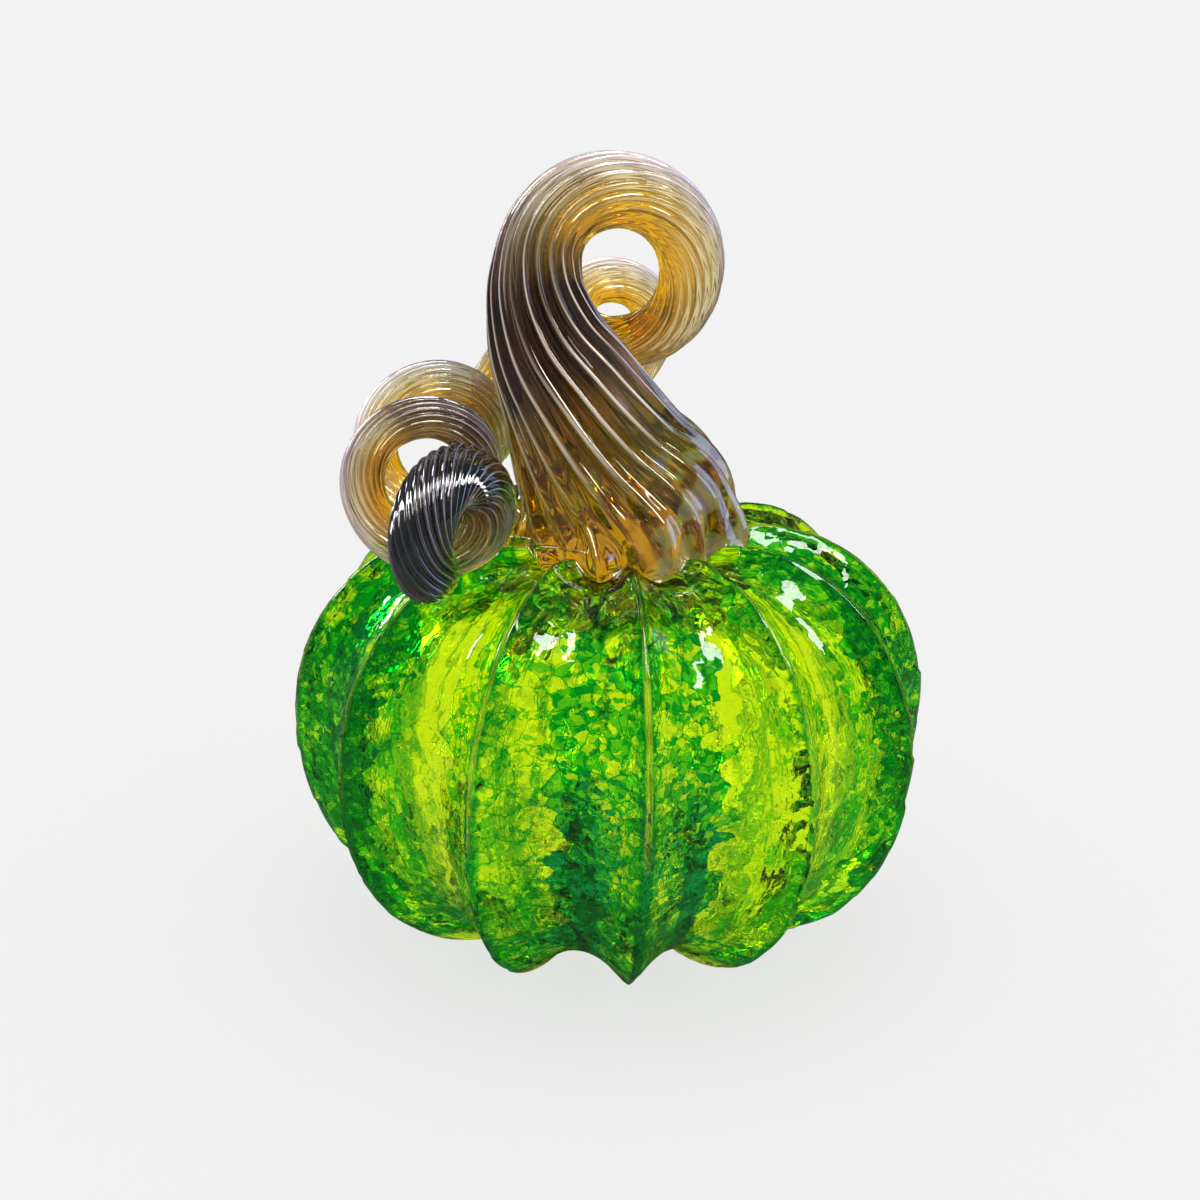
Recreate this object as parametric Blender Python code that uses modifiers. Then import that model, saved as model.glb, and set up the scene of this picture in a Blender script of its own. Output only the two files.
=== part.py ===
"""Hand-blown glass pumpkin paperweight: a hollow ribbed body and a stem drawn out of one gather of glass.

The body stands on its ridges with its axis on Z. The viewer is on the -Y side. Units are metres.
"""

import math

import bmesh
import bpy
from mathutils import Vector

MM = 0.001

# Body: the crest line of the ridges, seen in section
RIDGE_COUNT = 12
RIDGE_TURN = math.radians(6.0)        # first ridge, from the front towards +X
RIDGE_SQUEEZE = math.radians(2.0)     # the ridges crowd a little on the front, as blown
BODY_RADIUS = 47.0 * MM               # over the ridges
EQUATOR_HEIGHT = 33.3 * MM            # where the body is widest
CREST_HEIGHT = 61.2 * MM              # highest point of a ridge
CREST_TOP_RADIUS = 21.0 * MM          # circle through those highest points
NECK_RADIUS = 9.0 * MM                # inside this circle the dimple on top has no ridges
NECK_DIP = 4.2 * MM                   # depth of that dimple below the crests
FOOT_RADIUS = 14.0 * MM               # circle that the ridges stand on
KICK_HEIGHT = 6.0 * MM                # pushed-up middle of the underside
LOWER_FULLNESS = 2.23                 # 2 is an ellipse, more is squarer
VALLEY_DEPTH = 6.0 * MM               # at the equator, below the crests
FLAT_DEPTH = 0.8 * MM                 # ground off the ridges where they stand
WALL = 7.5 * MM                       # behind a ridge
INNER_VALLEY_DEPTH = 1.5 * MM         # the optic ribs show less on the inside
PIPE_HOLE_RADIUS = 6.0 * MM           # where the blowpipe was cracked off
COLUMNS_PER_RIDGE = 6
ROWS_PER_QUARTER = 7
ROWS_ON_CAPS = 4
CAVITY_ROWS_PER_QUARTER = 5
CUTTER_SIDES = 48
WELD = 0.01 * MM                      # points closer than this become one
BODY_SHARP = math.radians(60.0)       # edges bent more than this are shaded sharp
STEM_SHARP = math.radians(40.0)

# Stem: a ribbed rod, thick at the foot, drawn up, looped over and wound into a corkscrew
STEM_UNIT = 1.0 * MM                  # one step of the two tables below
SEAT_GAP = 0.3 * MM                   # between the stem and the body that it sits on
RIB_COUNT = 20
RIB_DEPTH = 0.10                      # share of the rod's radius
FOOT_LOBES = ((5, 0.05, 0.6), (8, 0.04, 2.1), (13, 0.03, 4.0))   # count, share of the radius, phase
LOBE_HEIGHT = 7.0 * MM                # the lobes die out this far above the crests
STALK_STEP = 3.0 * MM
RINGS_PER_TURN = 14
TIP_RINGS = 4
TIP_BLUNT = 0.3                       # the last ring stops this share of a ring short of a point

# Stalk centreline: x, y, height over the crests, diameter
STALK = [(x * STEM_UNIT, y * STEM_UNIT, up * STEM_UNIT, rod * STEM_UNIT) for x, y, up, rod in (
    (0.6, 0.0, -7.5, 31.0),
    (0.8, 0.0, -3.6, 34.0),
    (0.9, -0.3, -0.6, 34.2),
    (0.7, -0.8, 3.6, 32.4),
    (-2.9, -1.6, 11.0, 26.0),
    (-7.4, -2.4, 20.4, 20.8),
    (-10.5, -2.4, 26.8, 17.4),
    (-12.3, -2.0, 33.8, 13.8),
)]

# Corkscrew: turn, then the loop's centre x, y and height over the shoulder below it, the loop's radius,
# the way the corkscrew is heading in degrees from +X, and the rod's diameter.
# Turn 0 is the top of the main loop.
COIL = [(turn, x * STEM_UNIT, y * STEM_UNIT, up * STEM_UNIT, loop * STEM_UNIT,
         math.radians(heading), rod * STEM_UNIT) for turn, x, y, up, loop, heading, rod in (
    (-0.25, -1.6, -1.4, 37.4, 10.6, 90, 11.8),
    (0.0, -1.6, 0.0, 37.4, 10.6, 90, 10.6),
    (0.25, -1.2, 4.5, 37.0, 10.7, 90, 9.4),
    (0.5, 0.2, 11.0, 35.0, 10.5, 92, 7.8),
    (1.0, 0.9, 17.0, 25.0, 7.2, 95, 6.6),
    (2.0, -14.0, 21.0, 15.7, 7.4, 180, 6.3),
    (3.0, -27.0, 2.4, 13.9, 6.5, 262, 6.6),
    (4.0, -27.1, -13.5, 11.4, 8.9, 268, 5.8),
    (4.5, -24.9, -20.0, 11.8, 8.0, 285, 6.8),
    (5.0, -22.4, -25.6, 10.2, 6.8, 325, 8.8),
    (5.36, -22.2, -27.2, 11.0, 6.6, 332, 8.4),
)]

# Twist of the ribs: share of the stem's length, then turns of the rod in a thousand steps of its length
TWIST = ((0.0, -3.0), (0.25, -5.0), (0.85, -5.0), (0.95, -22.0), (1.0, -22.0))

LIME_GLASS = ((0.25, 0.62, 0.02, 1.0), 0.08)
AMBER_GLASS = ((0.42, 0.24, 0.06, 1.0), 0.10)


def empty_scene():
    for old in list(bpy.data.objects):
        bpy.data.objects.remove(old, do_unlink=True)


def new_collection(name):
    collection = bpy.data.collections.new(name)
    bpy.context.scene.collection.children.link(collection)
    return collection


def new_object(name, data, collection):
    made = bpy.data.objects.new(name, data)
    collection.objects.link(made)
    return made


def as_cutter(cutter):
    cutter.hide_render = True
    cutter.display_type = "WIRE"
    return cutter


def cut(target, cutter):
    boolean = target.modifiers.new("cut_" + cutter.name, "BOOLEAN")
    boolean.operation = "DIFFERENCE"
    boolean.solver = "EXACT"
    boolean.object = cutter


def glass(name, look):
    colour, roughness = look
    material = bpy.data.materials.new(name)
    material.use_nodes = True
    shader = material.node_tree.nodes["Principled BSDF"]
    shader.inputs["Base Color"].default_value = colour
    shader.inputs["Roughness"].default_value = roughness
    shader.inputs["Metallic"].default_value = 0.0
    shader.inputs["IOR"].default_value = 1.5
    shader.inputs["Transmission Weight"].default_value = 0.8
    return material


def evaluated_mesh(source):
    """The mesh of a curve or of an object with modifiers, welded at its caps and poles."""
    graph = bpy.context.evaluated_depsgraph_get()
    graph.update()
    mesh = bpy.data.meshes.new_from_object(source.evaluated_get(graph))
    work = bmesh.new()
    work.from_mesh(mesh)
    bmesh.ops.remove_doubles(work, verts=work.verts, dist=WELD)
    bmesh.ops.recalc_face_normals(work, faces=work.faces)
    work.to_mesh(mesh)
    work.free()
    return mesh


def shade(mesh, sharp):
    mesh.shade_smooth()
    mesh.set_sharp_from_angle(angle=sharp)


def shoulder(radius):
    """Height of the crest line at a radius on the upper half of the body."""
    share = (radius - CREST_TOP_RADIUS) / (BODY_RADIUS - CREST_TOP_RADIUS)
    share = min(max(share, 0.0), 1.0)
    return EQUATOR_HEIGHT + (CREST_HEIGHT - EQUATOR_HEIGHT) * math.sqrt(1.0 - share * share)


def crest_profile(grow, rows):
    """Section of the crest line from the dimple on top to the kick below, grown outwards all round."""
    top = CREST_HEIGHT + grow
    dip = NECK_DIP
    foot = -FLAT_DEPTH - grow
    points = [(0.0, top - dip)]
    for i in range(ROWS_ON_CAPS):
        share = i / ROWS_ON_CAPS
        radius = NECK_RADIUS + (CREST_TOP_RADIUS - NECK_RADIUS) * share
        points.append((radius, top - dip + dip * math.sin(share * math.pi / 2)))
    for i in range(rows):
        angle = math.pi / 2 * i / rows
        radius = CREST_TOP_RADIUS + (BODY_RADIUS + grow - CREST_TOP_RADIUS) * math.sin(angle)
        points.append((radius, EQUATOR_HEIGHT + (top - EQUATOR_HEIGHT) * math.cos(angle)))
    power = 2.0 / LOWER_FULLNESS
    for i in range(rows):
        angle = math.pi / 2 * i / rows
        radius = FOOT_RADIUS + (BODY_RADIUS + grow - FOOT_RADIUS) * math.cos(angle) ** power
        points.append((radius, EQUATOR_HEIGHT - (EQUATOR_HEIGHT - foot) * math.sin(angle) ** power))
    for i in range(ROWS_ON_CAPS + 1):
        share = i / ROWS_ON_CAPS
        rise = KICK_HEIGHT * (1.0 - math.cos(math.pi * share)) / 2
        points.append((FOOT_RADIUS * (1.0 - share), foot + rise))
    return points


def crest_normal(radius, height):
    """Outward direction of the crest line near a point of the section."""
    if height >= EQUATOR_HEIGHT:
        out = max(radius - CREST_TOP_RADIUS, 0.0) / (BODY_RADIUS - CREST_TOP_RADIUS) ** 2
        up = (height - EQUATOR_HEIGHT) / (CREST_HEIGHT - EQUATOR_HEIGHT) ** 2
    else:
        out = max(radius - FOOT_RADIUS, 0.0) / (BODY_RADIUS - FOOT_RADIUS) ** 2
        up = (height - EQUATOR_HEIGHT) / EQUATOR_HEIGHT ** 2
    length = math.hypot(out, up) or 1.0
    return out / length, up / length


def press_valleys(mesh, depth):
    """Sink the turned form between the ridges: a sharp crest, then a broad concave valley."""
    pitch = 2.0 * math.pi / RIDGE_COUNT
    for vertex in mesh.vertices:
        x, y, height = vertex.co
        radius = math.hypot(x, y)
        turn = math.atan2(y, x)
        from_crest = abs((turn / pitch + 0.5) % 1.0 - 0.5) * 2.0
        valley = 1.0 - (1.0 - from_crest) ** 2
        reach = max(radius - NECK_RADIUS, 0.0) / (BODY_RADIUS - NECK_RADIUS)
        sink = depth * math.sqrt(reach) * valley
        out, up = crest_normal(radius, height)
        radius -= out * sink
        height -= up * sink
        place = turn + RIDGE_TURN - RIDGE_SQUEEZE * math.sin(turn)
        vertex.co = (radius * math.sin(place), -radius * math.cos(place), height)


def ribbed_form(name, grow, depth, rows, collection):
    """A closed pumpkin form: the crest section turned about Z, then pressed in between the ridges."""
    points = crest_profile(grow, rows)
    profile = bpy.data.meshes.new(name + "_profile")
    edges = [(i, i + 1) for i in range(len(points) - 1)]
    profile.from_pydata([(radius, 0.0, height) for radius, height in points], edges, [])
    turned = new_object(name + "_turned", profile, collection)
    screw = turned.modifiers.new("turn", "SCREW")
    screw.axis = "Z"
    screw.steps = RIDGE_COUNT * COLUMNS_PER_RIDGE
    screw.render_steps = screw.steps
    screw.use_merge_vertices = True
    screw.merge_threshold = WELD
    mesh = evaluated_mesh(turned)
    bpy.data.objects.remove(turned, do_unlink=True)
    press_valleys(mesh, depth)
    shade(mesh, BODY_SHARP)
    return new_object(name, mesh, collection)


def round_cutter(name, radius, low, high, collection):
    bpy.ops.mesh.primitive_cylinder_add(vertices=CUTTER_SIDES, radius=radius, depth=high - low)
    made = bpy.context.object
    made.name = name
    made.location = (0.0, 0.0, (low + high) / 2)
    for old in list(made.users_collection):
        old.objects.unlink(made)
    collection.objects.link(made)
    return as_cutter(made)


def make_body(parts, cutters):
    """Blown shell: the ribbed form, hollowed, open where the pipe was, and flat where the ridges stand."""
    body = ribbed_form("body", 0.0, VALLEY_DEPTH, ROWS_PER_QUARTER, parts)
    cavity = ribbed_form("cavity", -WALL, INNER_VALLEY_DEPTH, CAVITY_ROWS_PER_QUARTER, cutters)
    cut(body, as_cutter(cavity))
    dimple = CREST_HEIGHT - NECK_DIP
    cut(body, round_cutter("pipe_hole", PIPE_HOLE_RADIUS, dimple - 2 * WALL, dimple + WALL, cutters))
    cut(body, round_cutter("table", 2 * BODY_RADIUS, -BODY_RADIUS, 0.0, cutters))
    body.data.materials.append(glass("lime_crackle_glass", LIME_GLASS))
    return body


def between_knots(knots, at):
    """Values at a place on a smooth curve through knots, each a place followed by its values."""
    last = len(knots) - 1
    i = 0
    while i < last - 1 and at > knots[i + 1][0]:
        i += 1

    def slope(k, value):
        before, after = knots[max(k - 1, 0)], knots[min(k + 1, last)]
        return (after[value] - before[value]) / (after[0] - before[0])

    a, b = knots[i], knots[i + 1]
    span = b[0] - a[0]
    t = (at - a[0]) / span
    values = []
    for k in range(1, len(a)):
        start, end = slope(i, k) * span, slope(i + 1, k) * span
        values.append(a[k] + t * start + t * t * (3 * (b[k] - a[k]) - 2 * start - end)
                      + t * t * t * (2 * (a[k] - b[k]) + start + end))
    return values


def coil_point(turn):
    """A point on the corkscrew and the rod's diameter there."""
    x, y, up, loop, heading, rod = between_knots(COIL, turn)
    angle = 2.0 * math.pi * turn
    side = Vector((math.sin(heading), -math.cos(heading), 0.0))
    height = shoulder(math.hypot(x, y)) + up
    point = Vector((x, y, height)) + loop * (side * math.sin(angle) + Vector((0, 0, 1)) * math.cos(angle))
    return point, rod


def stem_route():
    """Rings of the stem from the foot to the tip: a centre and a rod radius each."""
    first, last = COIL[0][0], COIL[-1][0]
    step = 1.0 / RINGS_PER_TURN
    turns = [first + step * i for i in range(int((last - first) / step))] + [last]
    coil = [coil_point(turn) for turn in turns]
    stops = [(Vector((x, y, CREST_HEIGHT + up)), rod) for x, y, up, rod in STALK] + coil[:2]
    along = 0.0
    knots = []
    for i, (point, rod) in enumerate(stops):
        along += (point - stops[i - 1][0]).length if i else 0.0
        knots.append((along, *point, rod))
    count = round(knots[-2][0] / STALK_STEP)
    route = []
    for i in range(count):
        x, y, z, rod = between_knots(knots, knots[-2][0] * i / count)
        route.append((Vector((x, y, z)), rod / 2))
    route += [(point, rod / 2) for point, rod in coil]
    end, radius = route[-1]
    ahead = (end - route[-2][0]).normalized()
    for i in range(1, TIP_RINGS + 1):
        angle = math.pi / 2 * i / (TIP_RINGS + TIP_BLUNT)
        route.append((end + ahead * radius * math.sin(angle), radius * math.cos(angle)))
    return route


def print_least_gap(route):
    """Least clear distance between stretches of the rod that only pass each other."""
    apart = [0.0]
    for i in range(1, len(route)):
        apart.append(apart[-1] + (route[i][0] - route[i - 1][0]).length)
    least = math.inf
    for i, (point, radius) in enumerate(route):
        for j in range(i):
            if apart[i] - apart[j] > 2 * math.pi * max(radius, route[j][1]):
                least = min(least, (point - route[j][0]).length - radius - route[j][1])
    print(f"least gap between turns of the stem: {least / MM:.2f} mm")


def rib_section(collection):
    """Cross-section of the rod: a round with pinched ribs, of unit radius."""
    curve = bpy.data.curves.new("rib_section", "CURVE")
    curve.dimensions = "2D"
    spline = curve.splines.new("POLY")
    spline.points.add(2 * RIB_COUNT - 1)
    for i, point in enumerate(spline.points):
        angle = math.pi * i / RIB_COUNT
        radius = 1.0 - RIB_DEPTH * (i % 2)
        point.co = (radius * math.cos(angle), radius * math.sin(angle), 0.0, 1.0)
    spline.use_cyclic_u = True
    return as_cutter(new_object("rib_section", curve, collection))


def spread_foot(mesh):
    """Uneven lobes round the foot, where the hot glass ran out over the body."""
    foot_x, foot_y, _, _ = STALK[0]
    widest = max(rod for _, _, _, rod in STALK)
    for vertex in mesh.vertices:
        x, y, z = vertex.co
        over = (z - CREST_HEIGHT) / LOBE_HEIGHT
        x, y = x - foot_x, y - foot_y
        if over < 1.0 and math.hypot(x, y) < widest:
            fade = min(1.0 - over, 1.0)
            angle = math.atan2(y, x)
            swell = sum(share * math.cos(count * angle + phase) for count, share, phase in FOOT_LOBES)
            vertex.co.x = foot_x + x * (1.0 + fade * swell)
            vertex.co.y = foot_y + y * (1.0 + fade * swell)


def make_stem(parts, cutters):
    """Drawn rod: the ribbed section swept along the route, twisting, with a spread foot cut to its seat."""
    route = stem_route()
    print_least_gap(route)
    curve = bpy.data.curves.new("stem_route", "CURVE")
    curve.dimensions = "3D"
    curve.twist_mode = "MINIMUM"
    curve.bevel_mode = "OBJECT"
    curve.bevel_object = rib_section(cutters)
    curve.use_fill_caps = True
    spline = curve.splines.new("POLY")
    spline.points.add(len(route) - 1)
    length = sum((route[i][0] - route[i - 1][0]).length for i in range(1, len(route)))
    along = 0.0
    tilt = 0.0
    for i, (point, (centre, radius)) in enumerate(zip(spline.points, route)):
        step = (centre - route[i - 1][0]).length if i else 0.0
        along += step
        turns = between_knots(TWIST, along / length)[0] / (1000 * STEM_UNIT)
        tilt += 2.0 * math.pi * step * turns
        point.co = (*centre, 1.0)
        point.radius = radius
        point.tilt = tilt
    rod = new_object("stem_rod", curve, cutters)
    mesh = evaluated_mesh(rod)
    bpy.data.objects.remove(rod, do_unlink=True)
    bpy.data.objects.remove(curve.bevel_object, do_unlink=True)
    spread_foot(mesh)
    shade(mesh, STEM_SHARP)
    stem = new_object("stem", mesh, parts)
    seat = ribbed_form("seat", SEAT_GAP, VALLEY_DEPTH, ROWS_PER_QUARTER, cutters)
    cut(stem, as_cutter(seat))
    stem.data.materials.append(glass("amber_lustre_glass", AMBER_GLASS))
    return stem


def main():
    empty_scene()
    parts = new_collection("glass_pumpkin")
    cutters = new_collection("cutters")
    make_body(parts, cutters)
    make_stem(parts, cutters)


main()
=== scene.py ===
"""Looks of a hand-blown glass pumpkin paperweight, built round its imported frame: body, stem and stage."""

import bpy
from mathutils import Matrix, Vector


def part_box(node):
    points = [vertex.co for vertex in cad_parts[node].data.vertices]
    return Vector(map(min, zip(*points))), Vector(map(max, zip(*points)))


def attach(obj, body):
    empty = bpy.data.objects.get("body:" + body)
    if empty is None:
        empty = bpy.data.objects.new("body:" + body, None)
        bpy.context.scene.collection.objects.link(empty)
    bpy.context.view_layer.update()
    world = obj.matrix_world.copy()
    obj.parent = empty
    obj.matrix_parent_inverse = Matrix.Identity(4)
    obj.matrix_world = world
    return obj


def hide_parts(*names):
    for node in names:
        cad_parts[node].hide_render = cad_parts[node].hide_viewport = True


bl_info = {
    "name": "Glass pumpkin paperweight",
    "version": (1, 0, 0),
    "blender": (4, 5, 0),
    "location": "3D View > Sidebar > Pumpkin",
    "description": "Blows a crackled green glass pumpkin, draws its amber stem and sets a small studio",
    "category": "Add Mesh",
}

import functools
import math

import bpy
import numpy as np
from mathutils import Matrix, Vector, kdtree, noise

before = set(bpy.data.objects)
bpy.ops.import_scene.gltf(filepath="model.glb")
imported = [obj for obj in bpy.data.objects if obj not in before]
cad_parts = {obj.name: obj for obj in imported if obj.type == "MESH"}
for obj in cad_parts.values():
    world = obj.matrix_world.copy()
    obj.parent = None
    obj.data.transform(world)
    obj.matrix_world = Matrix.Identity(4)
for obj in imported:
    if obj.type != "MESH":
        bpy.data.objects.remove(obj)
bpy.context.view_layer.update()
BODY_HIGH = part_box("body")[1]

MM = 0.001
FULL_TURN = 2.0 * math.pi
SEED = 7
TINY = 1e-12

# Crest line of the ridges, in section. The frame gives its radius and its height.
RIDGE_COUNT = 12
RIDGE_TURN = math.radians(6.0)
RIDGE_SQUEEZE = math.radians(2.0)
BODY_RADIUS = BODY_HIGH.y / math.cos(RIDGE_TURN)
CREST_HEIGHT = BODY_HIGH.z
EQUATOR_HEIGHT = 33.3 * MM
CREST_TOP_RADIUS = 21.0 * MM
NECK_RADIUS = 9.0 * MM
NECK_DIP = 4.2 * MM
FOOT_RADIUS = 14.0 * MM
KICK_HEIGHT = 6.0 * MM
LOWER_FULLNESS = 2.23
FLAT_DEPTH = 0.8 * MM
PIPE_HOLE_RADIUS = 6.0 * MM

# Mesh of the body: columns, rows on a cap and on a quarter of the section, and how far a crest is rounded
COLUMNS_PER_RIDGE = 36
SKIN_ROWS = (8, 56)
BORE_ROWS = (5, 40)
SKIN_ROUNDING = 0.03
BORE_ROUNDING = 0.3

# Plates of the crackle: their slope, their lift as a share of it, and the jags of their borders as waves to
# a plate and reach in plates. A ball of a share of the body's radius has about as much skin as the body.
PLATE_TILT = 0.03
PLATE_LIFT = 0.2
BORDER_JAGS = ((0.9, 0.25), (2.7, 0.12))
BALL_SHARE = 0.85

# Waves of the blown skin, and where it lies still: at the flats and in the neck, with the width of each fade
WAVES_PER_METRE = 180.0
WAVE_HEIGHT = 0.10 * MM
STILL_HEIGHT, STILL_HEIGHT_FADE = 0.5 * MM, 3.0 * MM
STILL_RADIUS, STILL_RADIUS_FADE = 12 * MM, 6 * MM

# Strength of the fine crackle on the skin and in the bore, and its share at two heights
SKIN_CRACKLE = 0.42
BORE_CRACKLE = 0.7
CALM_HEIGHTS = (40 * MM, 50 * MM)
CALM_SHARES = (1.0, 0.3)

# Stalk centreline: x, y, height over the crests and diameter, in millimetres
STALK = (
    (0.6, 0.0, -7.5, 31.0),
    (0.8, 0.0, -3.6, 34.0),
    (0.9, -0.3, -0.6, 34.2),
    (0.7, -0.8, 3.6, 32.4),
    (-2.9, -1.6, 11.0, 26.0),
    (-7.4, -2.4, 20.4, 20.8),
    (-10.5, -2.4, 26.8, 17.4),
    (-12.3, -2.0, 33.8, 13.8),
)

# Corkscrew: turn, then the loop's centre x, y and height over the shoulder, its radius, its heading in
# degrees from +X and the rod's diameter, lengths in millimetres. Turn 0 is the top of the main loop.
COIL = (
    (-0.25, -1.6, -1.4, 37.4, 10.6, 90, 11.8),
    (0.0, -1.6, 0.0, 37.4, 10.6, 90, 10.6),
    (0.25, -1.2, 4.5, 37.0, 10.7, 90, 9.4),
    (0.5, 0.2, 11.0, 35.0, 10.5, 92, 7.8),
    (1.0, 0.9, 17.0, 25.0, 7.2, 95, 6.6),
    (2.0, -14.0, 21.0, 15.7, 7.4, 180, 6.3),
    (3.0, -27.0, 2.4, 13.9, 6.5, 262, 6.6),
    (4.0, -27.1, -13.5, 11.4, 8.9, 268, 5.8),
    (4.5, -24.9, -20.0, 11.8, 8.0, 285, 6.8),
    (5.0, -22.4, -25.6, 10.2, 6.8, 325, 8.8),
    (5.36, -22.2, -27.2, 11.0, 6.6, 332, 8.4),
)
COIL_POINTS = 500
STALK_POINTS = 150
JOIN_TURN = 0.07

# The route is settled from a length above the foot on, by a bell curve with a reach for x, y, z and radius
SETTLED_FROM, SETTLED_FADE = 20 * MM, 15 * MM
ROUTE_REACHES = (1.2 * MM, 1.2 * MM, 1.2 * MM, 5.0 * MM)
BELL_SPAN = 2.5

# Mesh of the stem: ring step, rings that close the foot and round the tip, and columns
RING_STEP = 0.62 * MM
CAP_RINGS = 12
CAP_LEAST = 0.04
TIP_RINGS = 12
TIP_POLE = 0.05 * MM
COLUMNS_PER_RIB = 8

# Twist in turns per metre at shares of the rod's length, and the depth of the ribs near the foot
TWIST = ((0.0, -3.0), (0.25, -5.0), (0.85, -5.0), (0.95, -22.0), (1.0, -22.0))
RIB_RISE = (6 * MM, 26 * MM)
RIB_SHARES = (0.35, 1.0)

# Lobes round the foot: count, share of the radius and phase, then the height they fade over and how far the
# foot reaches out and along the rod
FOOT_LOBES = ((5, 0.05, 0.6), (8, 0.05, 2.1), (13, 0.045, 4.0))
LOBE_HEIGHT = 7.0 * MM
FOOT_REACH = 33 * MM
FOOT_LENGTH = 40 * MM

# A bend of the rod counts from a curve per millimetre on, and is averaged over a reach in rings
BEND_REACH = 6.0
BEND_FROM, BEND_FADE = 0.03, 0.05

# Share of dark gathered glass along the rod, and rows of tones that the streaks run between
GATHER = ((0.0, 0.9), (0.03, 0.9), (0.05, 1.0), (0.13, 1.0), (0.15, 0.75), (0.17, 0.35), (0.19, 0.1),
          (0.21, 0.0), (0.59, 0.0), (0.615, 0.7), (0.64, 0.4), (0.66, 0.0), (0.75, 0.0), (0.77, 0.85),
          (0.80, 0.85), (0.825, 0.1), (0.85, 0.0), (0.88, 0.4), (0.92, 1.0), (1.0, 1.0))
STREAK_ROWS = 24

# Patterns of the glass in real sizes: jags of the plates, fine plates, streaks on the crests and fumed clouds
JAG_WIDTH = 1.6 * MM
FINE_PLATE = 1.1 * MM
STREAK_WIDTH = 9 * MM
CLOUD_WIDTH = 5 * MM

# Plates are so many times as wide as high, and the more they lean the more they bend the light. Lines are
# dragged along the crests, so many to a ridge, and the streaks make them wander by so many radians.
PLATE_SQUASH = 1.35
LARGE_LEAN = 0.30
FINE_LEAN = 0.14
DRAG_LINES = 12
DRAG_WANDER = 8.0

# Share of lime from ridge to ridge, counted from the front one: partly the glass's own depth, thin flanks lime
# and thick ones deep green, and mostly painted light and shade of the light that the ridges bend.
# The bands are mirrored at the last ridge, and a plate takes its share from up to half the jitter to either
# side. The front flank ends at a share of the pitch.
LIME_BANDS = ((0.0, 0.42), (0.24, 0.40), (0.28, 0.22), (0.50, 0.22), (0.55, 1.0), (0.97, 1.0), (1.0, 0.7),
              (1.22, 0.5), (1.28, 1.0), (1.80, 1.0), (1.87, 0.2), (2.15, 0.25), (2.25, 0.5), (2.40, 0.6),
              (2.50, 0.2), (2.90, 0.2), (3.0, 0.5))
BAND_RIDGES = LIME_BANDS[-1][0]
BAND_JITTER = 0.10
FRONT_FLANK = 0.56

# Painted shade: the left of the front, and its first ridge most, is darker.
# Lime left of the middle: less of it, and less still on the first ridge. Plates there count as higher than
# they are for the limit above, and as lower for the limit below. The far half is nearly all lime.
LEFT_LIME = -0.05
LEFT_FIRST_LIME = -0.30
LEFT_FIRST_RAISE = 9 * MM
LEFT_LOWER = -5 * MM
FAR_LIME = 0.95

# Shares of the green glass: each is a product of eases, and an ease names what it follows, where it starts
# and ends, and its share at either end
GREEN_SHARES = {
    "drag": (("from_crest", 0.04, 0.14, 0.05, 0.0),),
    # Painted shade: a dark band beside each crest
    "crest_shade": (("from_crest", 0.02, 0.05, 0.45, 0.0),),
    # Painted highlight: a pale line along each crest, strongest high up
    "crest_highlight": (("from_crest", 0.008, 0.024, 1.0, 0.0), ("streak", 0.4, 0.6, 0.1, 0.8),
                   ("upright", 28 * MM, 46 * MM, 0.0, 0.9)),
    # Painted reflection: dark teal strips low on the front, between the front ridge and the next
    "teal_reflection_strip": (("count", 0.27, 0.29, 0.0, 1.0), ("count", 0.45, 0.42, 0.0, 1.0),
                   ("upright", 22 * MM, 30 * MM, 0.6, 0.0)),
    "above_table": (("upright", 1 * MM, 4 * MM, 0.0, 1.0),),
    # Painted light: the front flank is lighter higher up
    "high": (("height", 28 * MM, 40 * MM, 0.0, 0.36),),
    # Painted light: lighter near the top of the front ridges
    "top_front_light": (("height", 53 * MM, 57 * MM, 0.0, 0.6),),
    # Painted shade: darker near the top, under the stem
    "most_above": (("raised", 51 * MM, 58 * MM, 1.0, 0.6),),
    # Painted shade: darker towards the bottom
    "most_below": (("lowered", 6 * MM, 16 * MM, 0.2, 1.0),),
    "far": (("back", 5 * MM, 15 * MM, 0.0, 0.85),),
    "border": (("edge", 0.02, 0.04, 0.36, 0.0),),
}

# Eases that follow the lime itself: fine plates, loose tones and borders are calmer where the glass is lime
FINE_EASE = (0.4, 0.9, 1.0, 0.3)
CALM_EASE = (0.3, 0.9, 1.0, 0.25)
BORDER_EASE = (0.0, 1.0, 0.5, 1.0)
FINE_TONE = 0.7
LARGE_TONE = 0.45

# Colour of the gathered amber along the rod, from the foot to the tip, and of the fumed clouds, thin to thick
# Dark at the tip for thick gathered glass, and navy there as a painted reflection of a dark bluish room
AMBER_ALONG = ((0.0, "#E8D050"), (0.03, "#D8B430"), (0.055, "#9A7C20"), (0.09, "#2A1A0C"), (0.80, "#3A2410"),
               (0.88, "#20180F"), (0.93, "#0A1C44"), (1.0, "#0A2440"))
FUMED_CLOUDS = ((0.46, "#E0A020"), (0.51, "#A07818"), (0.54, "#0C8C50"), (0.60, "#105C70"),
                (0.66, "#3060B0"))

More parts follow.
